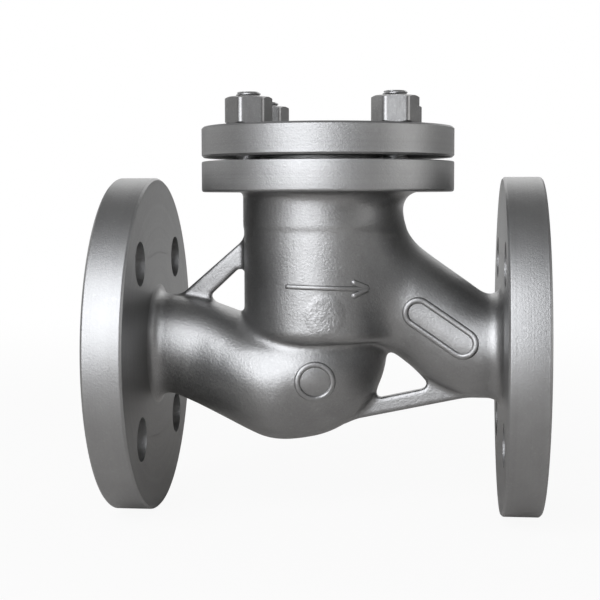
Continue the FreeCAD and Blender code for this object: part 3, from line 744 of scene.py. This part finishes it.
def skin_of(distance, low: np.ndarray, high: np.ndarray, cell: float) -> tuple[np.ndarray, np.ndarray]:
    """The surface where a distance is nought, as a net of quads.

    Each cell of a lattice whose corners lie on both sides gets one vertex, the mean of the places
    where its edges cross the surface. Each lattice edge that crosses gets a quad between the four
    cells round it. The vertices then move onto the surface along the gradient.

    Args:
        distance: a function of points as (n, 3).
        low: the lattice's lowest corner.
        high: its highest corner.
        cell: the cell's size.

    Returns:
        The vertices as (n, 3) and the quads as (m, 4).
    """
    axes = [np.arange(a, b + cell, cell) for a, b in zip(low, high)]
    lattice = np.stack(np.meshgrid(*axes, indexing="ij"), -1)
    shape = lattice.shape[:3]
    values = in_batches(distance, lattice.reshape(-1, 3)).reshape(shape)
    inside = values < 0
    corners = np.array([(a, b, c) for a in (0, 1) for b in (0, 1) for c in (0, 1)])
    windows = [tuple(slice(o, n - 1 + o) for o, n in zip(corner, shape)) for corner in corners]
    count = sum(inside[window].astype(int) for window in windows)
    mixed = np.argwhere((count > 0) & (count < 8))
    at_corner = np.stack([values[tuple((mixed + corner).T)] for corner in corners], -1)
    total = np.zeros((len(mixed), 3))
    crossings = np.zeros(len(mixed))
    for a in range(8):
        for b in range(a + 1, 8):
            if np.abs(corners[a] - corners[b]).sum() != 1:
                continue
            first, second = at_corner[:, a], at_corner[:, b]
            crosses = (first < 0) != (second < 0)
            share = np.where(crosses, first / np.where(crosses, first - second, 1.0), 0.0)
            total += crosses[:, None] * (corners[a] + share[:, None] * (corners[b] - corners[a]))
            crossings += crosses
    vertices = (mixed + total / crossings[:, None]) * cell + np.array([axis[0] for axis in axes])
    number = np.full(tuple(n - 1 for n in shape), -1)
    number[tuple(mixed.T)] = np.arange(len(mixed))
    quads = []
    for axis in range(3):
        others = [k for k in range(3) if k != axis]
        here = [slice(1, n - 1) for n in shape]
        here[axis] = slice(0, shape[axis] - 1)
        there = list(here)
        there[axis] = slice(1, shape[axis])
        flips = inside[tuple(here)] != inside[tuple(there)]
        edges = np.argwhere(flips) + np.array([0 if k == axis else 1 for k in range(3)])
        round_edge = []
        for one, two in ((-1, -1), (0, -1), (0, 0), (-1, 0)):
            shift = np.zeros(3, int)
            shift[others[0]], shift[others[1]] = one, two
            round_edge.append(number[tuple((edges + shift).T)])
        quad = np.stack(round_edge, -1)
        outward = inside[tuple(edges.T)]
        if axis == 1:
            outward = ~outward
        quads.append(np.where(outward[:, None], quad, quad[:, ::-1]))
    for _ in range(2):
        gradient = slope_of(distance, vertices)
        steepness = np.maximum((gradient**2).sum(1), 0.2)
        move = gradient * (in_batches(distance, vertices) / steepness)[:, None]
        vertices = vertices - np.clip(move, -cell / 2, cell / 2)
    return vertices, np.concatenate(quads)


# ----------------------------------------------------------------------------- sub-assemblies


@dataclass
class CastBelly:
    """The casting's rough part: branches, bowl, neck and webs, with their raised signs."""

    form: CastingForm = field(default_factory=CastingForm)
    cell: float = 1.0
    low: tuple[float, float, float] = (-75.0, -43.0, -41.5)
    high: tuple[float, float, float] = (75.0, 43.0, 67.5)

    def build(self) -> list[bpy.types.Object]:
        """Makes the skin of the casting.

        Returns:
            The one piece.
        """
        points, quads = skin_of(self.form.whole, np.array(self.low), np.array(self.high), self.cell)
        belly = add_piece("cast_belly", points, quads, smooth_below=50.0)
        return [belly]


@dataclass
class EndFlange:
    """One end flange: raised face, four bolt holes, turned rim and bore."""

    side: float
    length: float = 90.0
    thickness: float = 18.0
    rim: float = 70.0
    raised: float = 39.0
    raised_height: float = 2.0
    bore: float = 16.0
    bolt_circle: float = 50.0
    bolt_hole: float = 9.0
    chamfer: float = 0.8
    raised_edge: float = 0.3
    bore_edge: float = 0.6
    arc_steps: int = 26
    line_steps: int = 8
    rings: int = 4

    def sector(self) -> tuple[np.ndarray, np.ndarray]:
        """Boundary of one quarter of the drilled ring and the matching points of its bolt hole.

        Returns:
            Boundary points and hole points as (n, 2), in the plane of the flange: an outer arc, a
            straight side, an inner arc and the other side; each hole point lies on the ray from the
            hole's centre to its boundary point.
        """
        middle, half = math.pi / 4, math.pi / 4
        outer, inner = self.rim - self.chamfer, self.raised
        arc = np.linspace(-half, half, self.arc_steps + 1)[:-1] + middle
        side = np.linspace(0, 1, self.line_steps + 1)[:-1]
        down = outer + (inner - outer) * side
        up = inner + (outer - inner) * side
        back_arc = arc[::-1] + 2 * half / self.arc_steps
        angle = np.concatenate([arc, np.full(len(side), middle + half), back_arc, np.full(len(side), middle - half)])
        radius = np.concatenate([np.full(len(arc), outer), down, np.full(len(arc), inner), up])
        boundary = np.stack([radius * np.cos(angle), radius * np.sin(angle)], -1)
        centre = self.bolt_circle * np.array([math.cos(middle), math.sin(middle)])
        ray = boundary - centre
        return boundary, centre + unit(ray) * self.bolt_hole

    def build(self, name: str) -> bpy.types.Object:
        """Makes the flange.

        Args:
            name: the piece's name.

        Returns:
            The closed piece: drilled rings on both faces as grids between hole and boundary, the
            hole walls, the rim and bore as turned profiles.
        """
        face = self.length - self.raised_height
        back = self.length - self.thickness
        boundary, hole = self.sector()
        count = len(boundary)
        share = np.linspace(0, 1, self.rings)[:, None, None]
        between = hole[None] * (1 - share) + boundary[None] * share
        wall = np.repeat(hole[None], 2, axis=0)
        sheets, faces, first = [], [], 0
        for quarter in range(4):
            turn = quarter * math.pi / 2
            spin = np.array([[math.cos(turn), math.sin(turn)], [-math.sin(turn), math.cos(turn)]])
            level = np.ones(self.rings)
            for flat, heights in ((between, level * face), (between, level * back), (wall, np.array([back, face]))):
                placed = flat @ spin
                x = np.broadcast_to(heights[:, None, None], placed.shape[:2] + (1,))
                sheets.append(np.concatenate([x, placed], -1).reshape(-1, 3))
                faces.append(grid_faces(len(flat), count, False, True, first))
                first += sheets[-1].shape[0]
        arc = full_turn(4 * self.arc_steps)
        cut = self.chamfer
        rim = rounded_profile([
            (face, self.rim - cut, 0), (face - cut, self.rim, cut * 0.4),
            (back + cut, self.rim, cut * 0.4), (back, self.rim - cut, 0),
        ])
        core = rounded_profile([
            (back, self.raised, 0), (back, self.bore + 1.0, 0), (back, self.bore, 0),
            (self.length - self.bore_edge, self.bore, 0), (self.length, self.bore + self.bore_edge, 0),
            (self.length, self.raised - self.raised_edge, 0), (self.length - self.raised_edge, self.raised, 0),
            (face, self.raised, 0),
        ])
        for profile in (rim, core):
            turned = turn_about(profile, arc, "X")
            sheets.append(turned.reshape(-1, 3))
            faces.append(grid_faces(len(profile), len(arc), False, True, first))
            first += sheets[-1].shape[0]
        points = np.concatenate(sheets) * (self.side, 1.0, 1.0)
        piece = add_piece(name, points, np.concatenate(faces))
        close_and_orient(piece, 30.0)
        return piece


@dataclass
class BonnetFlange:
    """The round flange that carries the cover, with its rounded lower edge and the gasket's recess."""

    radius: float = 52.4
    base: float = 64.0
    top: float = 76.5
    lower_rounding: float = 1.2
    chamber: float = 26.0
    recess: float = 33.5
    recess_floor: float = 72.2
    steps: int = 144

    def build(self) -> bpy.types.Object:
        """Makes the flange.

        Returns:
            A closed ring, its profile turned about the bonnet axis.
        """
        profile = rounded_profile([
            (self.base, self.chamber, 0), (self.base, self.radius, self.lower_rounding),
            (self.top, self.radius, 0.7), (self.top, self.recess, 0), (self.recess_floor, self.recess, 0),
            (self.recess_floor, self.chamber, 0), (self.base, self.chamber, 0),
        ], steps=7)
        points = turn_about(profile, full_turn(self.steps), "Z")
        piece = add_piece("bonnet_flange", points.reshape(-1, 3), grid_faces(len(profile), self.steps, False, True))
        close_and_orient(piece, 30.0)
        return piece


@dataclass
class CoverNut:
    """One hexagon nut, chamfered at both ends."""

    number: int
    turn: float
    width: float = 17.0
    chamfer: float = math.radians(30.0)
    corner_softness: float = 0.35
    bore: float = 5.05
    mouth: float = 0.6
    chamfer_start: float = 0.25
    edge: float = 0.15
    steps: int = 144

    def build(self) -> bpy.types.Object:
        """Makes the nut in place of its CAD node.

        Returns:
            A closed piece. At each angle the side stands at the hexagon's radius, and the end
            falls from the chamfer circle by the chamfer's slope until it meets that side.
        """
        low, high = node_box(f"cover_nut_{self.number}")
        centre = (low + high) / 2
        base, top = low[2], high[2]
        angles = full_turn(self.steps)
        fold = (angles + math.pi / 6) % (math.pi / 3) - math.pi / 6
        flat = self.width / 2
        side = flat / np.cos(fold)
        side = np.minimum(side, flat / math.cos(math.pi / 6) - self.corner_softness)
        start = flat - self.chamfer_start
        drop = np.maximum(side - start, 0) * math.tan(self.chamfer)
        ones = np.ones_like(side)
        half = [
            (self.bore, self.mouth), (self.bore + self.mouth, 0.0), (start * 0.985, 0.0), (start, 0.02),
            (side, drop), (side, drop + self.edge),
        ]
        rows = [(r * ones, base + depth) for r, depth in half] + [(r * ones, top - depth) for r, depth in half[::-1]]
        bearing = angles + math.radians(self.turn)
        points = np.stack([
            np.stack([centre[0] + r * np.cos(bearing), centre[1] + r * np.sin(bearing), z * ones], -1)
            for r, z in rows
        ])
        piece = add_piece(f"nut_{self.number}", points.reshape(-1, 3), grid_faces(len(rows), self.steps, True, True))
        close_and_orient(piece, 24.0)
        return piece


@dataclass
class CoverStud:
    """One stud with a cut thread and a chamfered bright end."""

    number: int
    radius: float = 5.0
    pitch: float = 1.5
    depth: float = 0.55
    chamfer: float = 0.7
    steps: int = 48
    rows_per_turn: int = 10

    def build(self) -> bpy.types.Object:
        """Makes the stud in place of its CAD node.

        Returns:
            A closed piece. The radius falls by a triangle wave of height less the angle's share of
            the pitch, so the groove climbs one pitch a turn, and fades out at the chamfered ends.
        """
        low, high = node_box(f"cover_stud_{self.number}")
        centre = (low + high) / 2
        base, top = low[2], high[2]
        rows = int((top - base) / self.pitch * self.rows_per_turn)
        z = np.linspace(base, top, rows)[:, None]
        angle = full_turn(self.steps)[None, :]
        wave = np.abs(((z / self.pitch - angle / (2 * math.pi)) % 1.0) - 0.5) * 2
        groove = self.depth * np.clip(wave * 1.25 - 0.15, 0, 1)
        from_end = np.minimum(z - base, top - z)
        limit = self.radius - np.clip(self.chamfer - from_end, 0, None)
        radius = np.minimum(self.radius - groove, limit)
        across = [centre[0] + radius * np.cos(angle), centre[1] + radius * np.sin(angle)]
        points = np.stack([*across, z * np.ones_like(angle)], -1)
        piece = add_piece(f"stud_{self.number}", points.reshape(-1, 3), tube_faces(rows, self.steps))
        close_and_orient(piece, 40.0)
        return piece


@dataclass
class ClosingSpring:
    """The helical spring between disc and cover, of round wire, with closed ends ground flat."""

    radius: float = 16.5
    wire_radius: float = 1.0
    closed_rise: float = 2.1
    open_turns: float = 5.0
    travel: float = 10.0
    seat_gap: float = 0.02
    steps_per_turn: int = 60
    sides: int = 16

    def build(self) -> bpy.types.Object:
        """Makes the spring in place of its CAD node.

        Returns:
            A closed piece: round sections square to the wire, cut flat at both ends' heights.
        """
        low, high = self.ends()
        turns = np.array([0.0, 1.0, 1.0 + self.open_turns, 2.0 + self.open_turns])
        heights = np.array([low, low + self.closed_rise, high - self.closed_rise, high])
        turn = np.linspace(0, turns[-1], round(turns[-1] * self.steps_per_turn) + 1)
        height = np.interp(turn, turns, heights)
        angle = 2 * math.pi * turn
        outward = np.stack([np.cos(angle), np.sin(angle), np.zeros_like(angle)], -1)
        centres = outward * self.radius + height[:, None] * (0.0, 0.0, 1.0)
        across = np.cross(outward, unit(np.gradient(centres, axis=0)))
        section = full_turn(self.sides)[None, :, None]
        off_centre = outward[:, None] * np.cos(section) + across[:, None] * np.sin(section)
        points = centres[:, None] + self.wire_radius * off_centre
        points[..., 2] = np.clip(points[..., 2], low + self.seat_gap, high)
        piece = add_piece("coil_spring", points.reshape(-1, 3), tube_faces(len(turn), self.sides))
        close_and_orient(piece, 50.0)
        return piece

    def ends(self) -> tuple[float, float]:
        """The heights of the spring's ends."""
        low, high = node_box("closing_spring")
        return float(low[2]), float(high[2])

    def shorten(self, piece: bpy.types.Object) -> None:
        """Gives the spring its own copy of its mesh; the spring is not shortened."""
        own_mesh(piece)


def set_on_skin(form: CastingForm, path: np.ndarray) -> tuple[np.ndarray, np.ndarray]:
    """Carries a flat path in X and Z back onto the casting's front skin.

    Args:
        form: the casting.
        path: rows of (x, z).

    Returns:
        The points on the skin and its normals there: the first change of sign on a line of places
        along Y, refined by halving.
    """
    near = np.linspace(-44.0, 0.0, 177)
    count = len(path)
    tried = np.stack([
        np.repeat(path[:, 0], len(near)), np.tile(near, count), np.repeat(path[:, 1], len(near)),
    ], -1)
    inside = (form.outside(tried) < 0).reshape(count, len(near))
    first = np.argmax(inside, axis=1)
    high = near[first]
    low = high - (near[1] - near[0])
    for _ in range(14):
        middle = (low + high) / 2
        hit = form.outside(np.stack([path[:, 0], middle, path[:, 1]], -1)) < 0
        high, low = np.where(hit, middle, high), np.where(hit, low, middle)
    points = np.stack([path[:, 0], high, path[:, 1]], -1)
    normals = slope_of(form.outside, points)
    return points, unit(normals)


@dataclass
class RaisedLine:
    """A cast bead that follows the skin of the casting."""

    name: str
    path: np.ndarray
    closed: bool
    half_width: float = 1.0
    height: float = 0.9
    sides: int = 14

    def build(self, form: CastingForm) -> bpy.types.Object:
        """Makes the bead.

        Args:
            form: the casting it lies on.

        Returns:
            A closed tube of oval section, half sunk in the skin: across it is half_width, above it
            is height, and at the ends of an open path the section shrinks as a quarter circle.
        """
        points, normals = set_on_skin(form, self.path)
        along = np.roll(points, -1, 0) - np.roll(points, 1, 0) if self.closed else np.gradient(points, axis=0)
        across = unit(np.cross(unit(along), normals))
        size = np.ones(len(points))
        if not self.closed:
            run = np.concatenate([[0], np.cumsum(np.linalg.norm(np.diff(points, axis=0), axis=1))])
            from_end = np.minimum(run, run[-1] - run)
            near = np.clip(from_end / self.half_width, 0.02, 1)
            size = np.sqrt(1 - (1 - near) ** 2)
        angle = full_turn(self.sides)
        wide = self.half_width * np.sign(np.cos(angle)) * np.abs(np.cos(angle)) ** 0.7
        tall = self.height * np.sin(angle)
        section = across[:, None] * wide[None, :, None] + normals[:, None] * tall[None, :, None]
        tube = points[:, None] + size[:, None, None] * section
        faces = tube_faces(len(points), self.sides, self.closed)
        piece = add_piece(self.name, tube.reshape(-1, 3), faces, smooth_below=60.0)
        close_and_orient(piece, within=0.000001)
        return piece


def line_path(start: tuple[float, float], end: tuple[float, float], spacing: float = 0.6) -> np.ndarray:
    """Evenly spaced points from one end of a straight line to the other."""
    count = max(int(math.dist(start, end) / spacing), 3)
    share = np.linspace(0, 1, count)[:, None]
    return np.array(start) * (1 - share) + np.array(end) * share


def capsule_path(
    start: tuple[float, float], end: tuple[float, float], radius: float, count: int = 120
) -> np.ndarray:
    """A closed path round two centres at one radius: two half circles and the straight sides between them."""
    axis = np.subtract(end, start)
    length = np.hypot(*axis)
    corners = np.cumsum([0.0, math.pi * radius, length, math.pi * radius, length])
    run = np.linspace(0, corners[-1], count + 1)[:-1]
    turn = np.interp(run, corners, (0.0, math.pi, math.pi, 2 * math.pi, 2 * math.pi))
    shift = np.interp(run, corners, (0.0, 0.0, length, length, 0.0))
    angle = math.atan2(axis[1], axis[0]) + math.pi / 2 + turn
    return np.array(start) + np.stack([np.cos(angle), np.sin(angle)], -1) * radius + shift[:, None] * axis / length


@dataclass
class RaisedSigns:
    """The plain cast signs: the flow arrow, a round ring and an oblong frame, both left blank."""

    arrow_tail: tuple[float, float] = (-14.5, 26.4)
    arrow_tip: tuple[float, float] = (18.8, 25.4)
    barb: tuple[float, float] = (6.9, 3.1)
    ring_centre: tuple[float, float] = (-2.8, -12.0)
    ring_radius: float = 7.0
    frame_ends: tuple = ((38.1, 15.3), (56.1, 3.0))
    frame_radius: float = 5.1

    def build(self, form: CastingForm) -> list[bpy.types.Object]:
        """Makes the signs.

        Args:
            form: the casting they lie on.

        Returns:
            The arrow's three strokes, the ring and the frame.
        """
        tip = self.arrow_tip
        back, rise = self.barb
        ring = capsule_path(self.ring_centre, np.add(self.ring_centre, (0.01, 0)), self.ring_radius)
        lines = [
            RaisedLine("arrow_shaft", line_path(self.arrow_tail, tip), False),
            RaisedLine("arrow_barb_upper", line_path((tip[0] - back, tip[1] + rise), tip), False, 1.15),
            RaisedLine("arrow_barb_lower", line_path((tip[0] - back, tip[1] - rise), tip), False, 1.15),
            RaisedLine("blank_badge_ring", ring, True, 1.2, 1.0),
            RaisedLine("blank_frame", capsule_path(*self.frame_ends, self.frame_radius), True, 1.3, 1.1),
        ]
        return [line.build(form) for line in lines]


# ------------------------------------------------------------------------------------- studio


@dataclass(frozen=True)
class SoftBox:
    """A soft box, placed by the directions from which the valve sees it, in degrees.

    The bearing counts from the front towards the outlet and the rise from the level.
    """

    name: str
    bearing: float
    rise: float
    distance: float
    width: float
    height: float
    brightness: float
    tint: tuple[float, float, float] = (1.0, 1.0, 1.0)

    def hang(self) -> None:
        """Hangs the box facing the valve, its power in proportion to brightness times area."""
        low, high = CAD_BOX
        aim = (Vector(low) + Vector(high)) / 2
        bearing, rise = math.radians(self.bearing), math.radians(self.rise)
        away = Vector((math.sin(bearing) * math.cos(rise), -math.cos(bearing) * math.cos(rise), math.sin(rise)))
        light = bpy.data.lights.new(self.name, "AREA")
        light.shape = "RECTANGLE"
        light.size, light.size_y = self.width, self.height
        light.energy = 4.0 * self.brightness * self.width * self.height
        light.color = self.tint
        lamp = add_object(self.name, light)
        lamp.location = aim + away * self.distance
        lamp.rotation_euler = (-away).to_track_quat("-Z", "Y").to_euler()
        lamp.visible_camera = False


@dataclass
class Studio:
    """Camera, floor, lamps and surroundings."""

    eye: tuple[float, float, float] = (0.137464, -0.561814, 0.061167)
    yaw: float = 0.105
    pitch: float = -0.075
    roll: float = -0.002
    lens: float = 80.78
    sensor: float = 36.0
    floor_height: float = -0.0705
    floor_size: float = 8.0
    floor_fade: tuple[float, float] = (0.2, 1.0)
    boxes: tuple = (
        SoftBox("key_box", -19.0, 23.0, 1.0, 0.88, 1.15, 3.1, (0.97, 0.99, 1.03)),
        SoftBox("side_box", 77.0, 5.0, 1.0, 0.6, 0.8, 1.1),
        SoftBox("back_box", 180.0, 33.0, 1.1, 1.0, 0.6, 1.1),
        SoftBox("left_box", -112.0, 22.0, 1.1, 0.6, 0.6, 0.6),
    )

    def add_camera(self) -> None:
        """Sets the camera at the photograph's viewing angle."""
        level = math.cos(self.pitch)
        ahead = Vector((-math.sin(self.yaw) * level, math.cos(self.yaw) * level, math.sin(self.pitch)))
        right = Vector((math.cos(self.yaw), math.sin(self.yaw), 0.0))
        up = right.cross(ahead)
        turned_right = right * math.cos(self.roll) + up * math.sin(self.roll)
        turned_up = up * math.cos(self.roll) - right * math.sin(self.roll)
        camera = add_object("camera", bpy.data.cameras.new("camera"))
        camera.data.lens = self.lens
        camera.data.sensor_width = self.sensor
        camera.data.clip_start = 0.01
        axes = Matrix((turned_right, turned_up, -ahead)).transposed().to_4x4()
        camera.matrix_world = Matrix.Translation(self.eye) @ axes
        bpy.context.scene.camera = camera

    def add_floor(self) -> None:
        """Lays the pale floor, which shows white to the camera except where the valve shades it."""
        half = self.floor_size / 2
        mesh = bpy.data.meshes.new("floor")
        corners = [(-half, -half), (half, -half), (half, half), (-half, half)]
        mesh.from_pydata([(x, y, self.floor_height) for x, y in corners], [], [(0, 1, 2, 3)])
        floor = add_object("floor", mesh)
        material = bpy.data.materials.new("pale_floor")
        tree = emptied_tree(material)
        place = make_node(tree, "ShaderNodeTexCoord", output="Object")
        behind = make_node(tree, "ShaderNodeSeparateXYZ", {}, {0: place}, output=1).between(*self.floor_fade)
        far = vector_math(tree, "LENGTH", place).between(*self.floor_fade)
        seen, mirrored = kinds_of_ray(tree)
        matt = make_node(tree, "ShaderNodeBsdfDiffuse", {}, {"Color": grey(0.55, 0.03)})
        white = make_node(tree, "ShaderNodeEmission", {}, {"Color": grey(1.0), "Strength": 1.0})
        share = (seen * (far * 0.07 + 0.93)).math("MAXIMUM", mirrored * behind)
        mixed = make_node(tree, "ShaderNodeMixShader", {}, {0: share, 1: matt, 2: white})
        make_node_output(tree, mixed)
        mesh.materials.append(material)

    def add_surroundings(self) -> None:
        """Gives the world a white backdrop for camera rays and dimmer sides for everything else."""
        world = bpy.data.worlds.new("studio")
        bpy.context.scene.world = world
        tree = emptied_tree(world)
        direction = make_node(tree, "ShaderNodeTexCoord", output="Generated")
        parts = tree.nodes.new("ShaderNodeSeparateXYZ")
        tree.links.new(direction.socket, parts.inputs[0])
        toward_back = Signal(tree, parts.outputs[1])
        upward = Signal(tree, parts.outputs[2])
        backdrop = toward_back.between(0.93, 0.995)
        ceiling = upward.between(0.1, 0.9)
        dim = blend_colours(tree, ceiling, grey(0.25), grey(0.21))
        seen_by_metal = blend_colours(tree, backdrop, dim, grey(1.0))
        seen, mirrored = kinds_of_ray(tree)
        other = blend_colours(tree, mirrored, grey(0.35), seen_by_metal)
        colour = blend_colours(tree, seen, other, grey(1.0))
        shine = make_node(tree, "ShaderNodeBackground", {}, {"Color": colour, "Strength": 1.0})
        output = tree.nodes.new("ShaderNodeOutputWorld")
        tree.links.new(shine.socket, output.inputs["Surface"])

    def build(self) -> None:
        """Sets up the whole studio."""
        self.add_camera()
        self.add_floor()
        self.add_surroundings()
        for box in self.boxes:
            box.hang()
        bpy.context.scene.view_settings.view_transform = "Standard"


# ------------------------------------------------------------------------------------ assembly


def dress(piece: bpy.types.Object, finish: bpy.types.Material, body: str) -> None:
    """Gives a new piece its finish and the body that carries it."""
    piece.data.materials.clear()
    piece.data.materials.append(finish)
    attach(piece, body)
    log.info("%s: %d faces", piece.name, len(piece.data.polygons))


def shade_faces_with(piece: bpy.types.Object, finish: bpy.types.Material) -> None:
    """Gives the faces that look along X a second, darker finish: painted shade on the same turned steel as the rim."""
    looks_along = 0.95
    piece.data.materials.append(finish)
    normals = np.empty(len(piece.data.polygons) * 3)
    piece.data.polygons.foreach_get("normal", normals)
    flat = np.abs(normals[::3]) > looks_along
    piece.data.polygons.foreach_set("material_index", flat.astype(np.int32))


def repaint(node: str, finish: bpy.types.Material) -> None:
    """Gives a CAD node a finish."""
    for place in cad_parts[node].material_slots:
        place.material = finish


def main() -> None:
    """Builds and dresses every piece."""
    logging.basicConfig(level=logging.INFO, format="%(name)s %(message)s")
    finishes = {
        finish: finish.material()
        for finish in (
            CAST_STEEL, RIM_STEEL, SHADED_FACE_STEEL, COVER_STEEL, INNER_STEEL, WIRE_STEEL, GRAPHITE, STUD_STEEL, NUT_STEEL
        )
    }
    form = CastingForm()
    cast = CastBelly(form).build() + RaisedSigns().build(form)
    for piece in cast:
        dress(piece, finishes[CAST_STEEL], "valve_body")
    flanges = [EndFlange(-1.0).build("inlet_flange"), EndFlange(1.0).build("outlet_flange")]
    for piece in flanges:
        dress(piece, finishes[RIM_STEEL], "valve_body")
        # painted shade: the faces that look along X get the darker copy of the rim's steel
        shade_faces_with(piece, finishes[SHADED_FACE_STEEL])
    bonnet = BonnetFlange().build()
    dress(bonnet, finishes[COVER_STEEL], "valve_body")
    for piece in cast + flanges + [bonnet]:
        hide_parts("body")
    for number, turn in enumerate(NUT_TURNS, start=1):
        nut = CoverNut(number, turn).build()
        dress(nut, finishes[NUT_STEEL], "valve_body")
        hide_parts(f"cover_nut_{number}")
        stud = CoverStud(number).build()
        dress(stud, finishes[STUD_STEEL], "valve_body")
        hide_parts(f"cover_stud_{number}")
    repaint("cover", finishes[COVER_STEEL])
    repaint("cover_gasket", finishes[GRAPHITE])
    coil = ClosingSpring()
    spring = coil.build()
    dress(spring, finishes[WIRE_STEEL], "valve_body")
    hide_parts("closing_spring")
    coil.shorten(spring)
    for node in ("seat_ring", "check_disc", "guide_bush"):
        repaint(node, finishes[INNER_STEEL])
    Studio().build()


if __name__ == "__main__":
    main()
